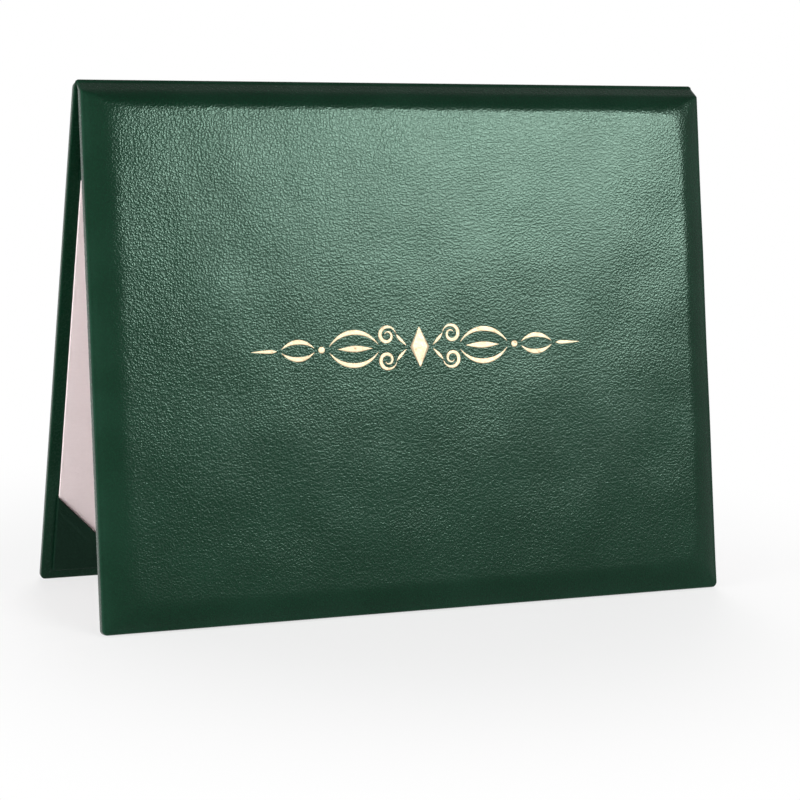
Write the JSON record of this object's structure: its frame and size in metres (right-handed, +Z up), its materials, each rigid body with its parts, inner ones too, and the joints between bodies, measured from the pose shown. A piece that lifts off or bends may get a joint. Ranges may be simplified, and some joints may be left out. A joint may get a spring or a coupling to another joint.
{
  "type": "diploma cover",
  "caption": "Padded leatherette cover for a certificate, standing open as a tent on a fold along its long top side, with corner pockets on the back lining.",
  "frame": {"origin": "on the surface it stands on, under the middle of its bounding box", "axes": "+X along the fold, to the right seen from the front; -Y is the side the padded front cover faces; +Z up"},
  "size_m": [0.295, 0.1034, 0.2283],
  "materials": {
    "leatherette": "pebbled grain with a soft sheen",
    "hinge_cloth": "matte",
    "grey_board": "matte",
    "foam": "matte open foam",
    "lining_paper": "satin"
  },
  "bodies": {
    "back_cover": {"back_wrap": "leatherette", "back_board": "grey_board", "back_lining": "lining_paper", "back_hinge_liner": "hinge_cloth", "corner_pocket_top_left": "leatherette", "corner_pocket_top_right": "leatherette", "corner_pocket_bottom_left": "leatherette", "corner_pocket_bottom_right": "leatherette"},
    "front_cover": {"front_wrap": "leatherette", "front_board": "grey_board", "front_foam_pad": "foam", "front_lining": "lining_paper", "front_hinge_liner": "hinge_cloth"}
  },
  "joints": [
    {"name": "cover_hinge", "type": "hinge", "parent": "back_cover", "child": "front_cover", "pos_m": [0, 0.00119, 0.2271], "axis": [-1, 0, 0], "range_deg": [-22.4, 157.6]}
  ]
}
